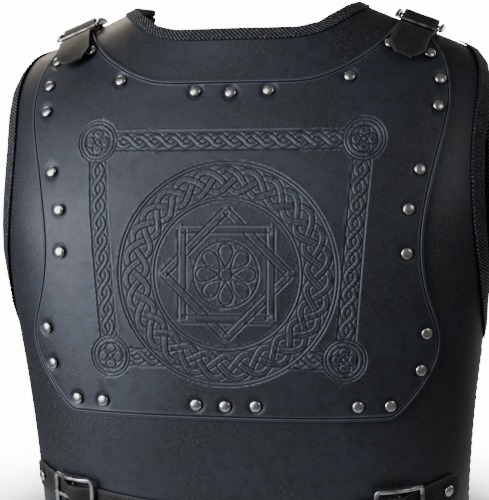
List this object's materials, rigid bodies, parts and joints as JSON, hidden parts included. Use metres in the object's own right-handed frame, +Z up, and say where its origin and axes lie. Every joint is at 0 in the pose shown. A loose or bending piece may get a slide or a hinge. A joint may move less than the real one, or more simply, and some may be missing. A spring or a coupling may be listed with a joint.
{
  "type": "leather breastplate",
  "caption": "Sleeveless leather breastplate with a riveted, tooled chest piece, taped edges, buckled shoulder straps and a buckled waist strap.",
  "frame": {"origin": "middle of the footprint at the level of the hem, on which the breastplate stands", "axes": "+Z up from hem to neck, -Y the way the chest faces, +X towards the wearer's left"},
  "size_m": [0.4204, 0.2382, 0.466],
  "materials": {
    "black_leather": "waxed, worn black with a blue-grey cast",
    "tooled_leather": "waxed, worn black, tooled",
    "strap_leather": "satin black",
    "black_tape": "woven twill tape",
    "aged_nickel": "aged, darkened in the recesses"
  },
  "bodies": {
    "root": {"breast_panel": "black_leather", "back_panel": "black_leather", "chest_overlay": "tooled_leather", "neck_binding_front": "black_tape", "neck_binding_back": "black_tape", "waist_strap": "strap_leather", "armhole_binding_left": "black_tape", "shoulder_strap_left": "strap_leather", "shoulder_chape_left": "strap_leather", "waist_tab_left": "strap_leather", "shoulder_buckle_left": "aged_nickel", "shoulder_tongue_left": "aged_nickel", "waist_buckle_left": "aged_nickel", "waist_tongue_left": "aged_nickel", "waist_rivet_left": "aged_nickel", "strap_rivet_left_1": "aged_nickel", "strap_rivet_left_2": "aged_nickel", "chest_rivet_left_01": "aged_nickel", "chest_rivet_left_02": "aged_nickel", "chest_rivet_left_03": "aged_nickel", "chest_rivet_left_04": "aged_nickel", "chest_rivet_left_05": "aged_nickel", "chest_rivet_left_06": "aged_nickel", "chest_rivet_left_07": "aged_nickel", "chest_rivet_left_08": "aged_nickel", "chest_rivet_left_09": "aged_nickel", "chest_rivet_left_10": "aged_nickel", "chest_rivet_left_11": "aged_nickel", "chest_rivet_left_12": "aged_nickel", "chest_rivet_left_13": "aged_nickel", "chest_rivet_left_14": "aged_nickel", "armhole_binding_right": "black_tape", "shoulder_strap_right": "strap_leather", "shoulder_chape_right": "strap_leather", "waist_tab_right": "strap_leather", "shoulder_buckle_right": "aged_nickel", "shoulder_tongue_right": "aged_nickel", "waist_buckle_right": "aged_nickel", "waist_tongue_right": "aged_nickel", "waist_rivet_right": "aged_nickel", "strap_rivet_right_1": "aged_nickel", "strap_rivet_right_2": "aged_nickel", "chest_rivet_right_01": "aged_nickel", "chest_rivet_right_02": "aged_nickel", "chest_rivet_right_03": "aged_nickel", "chest_rivet_right_04": "aged_nickel", "chest_rivet_right_05": "aged_nickel", "chest_rivet_right_06": "aged_nickel", "chest_rivet_right_07": "aged_nickel", "chest_rivet_right_08": "aged_nickel", "chest_rivet_right_09": "aged_nickel", "chest_rivet_right_10": "aged_nickel", "chest_rivet_right_11": "aged_nickel", "chest_rivet_right_12": "aged_nickel", "chest_rivet_right_13": "aged_nickel", "chest_rivet_right_14": "aged_nickel", "chest_rivet_middle_1": "aged_nickel", "chest_rivet_middle_2": "aged_nickel"}
  },
  "joints": []
}
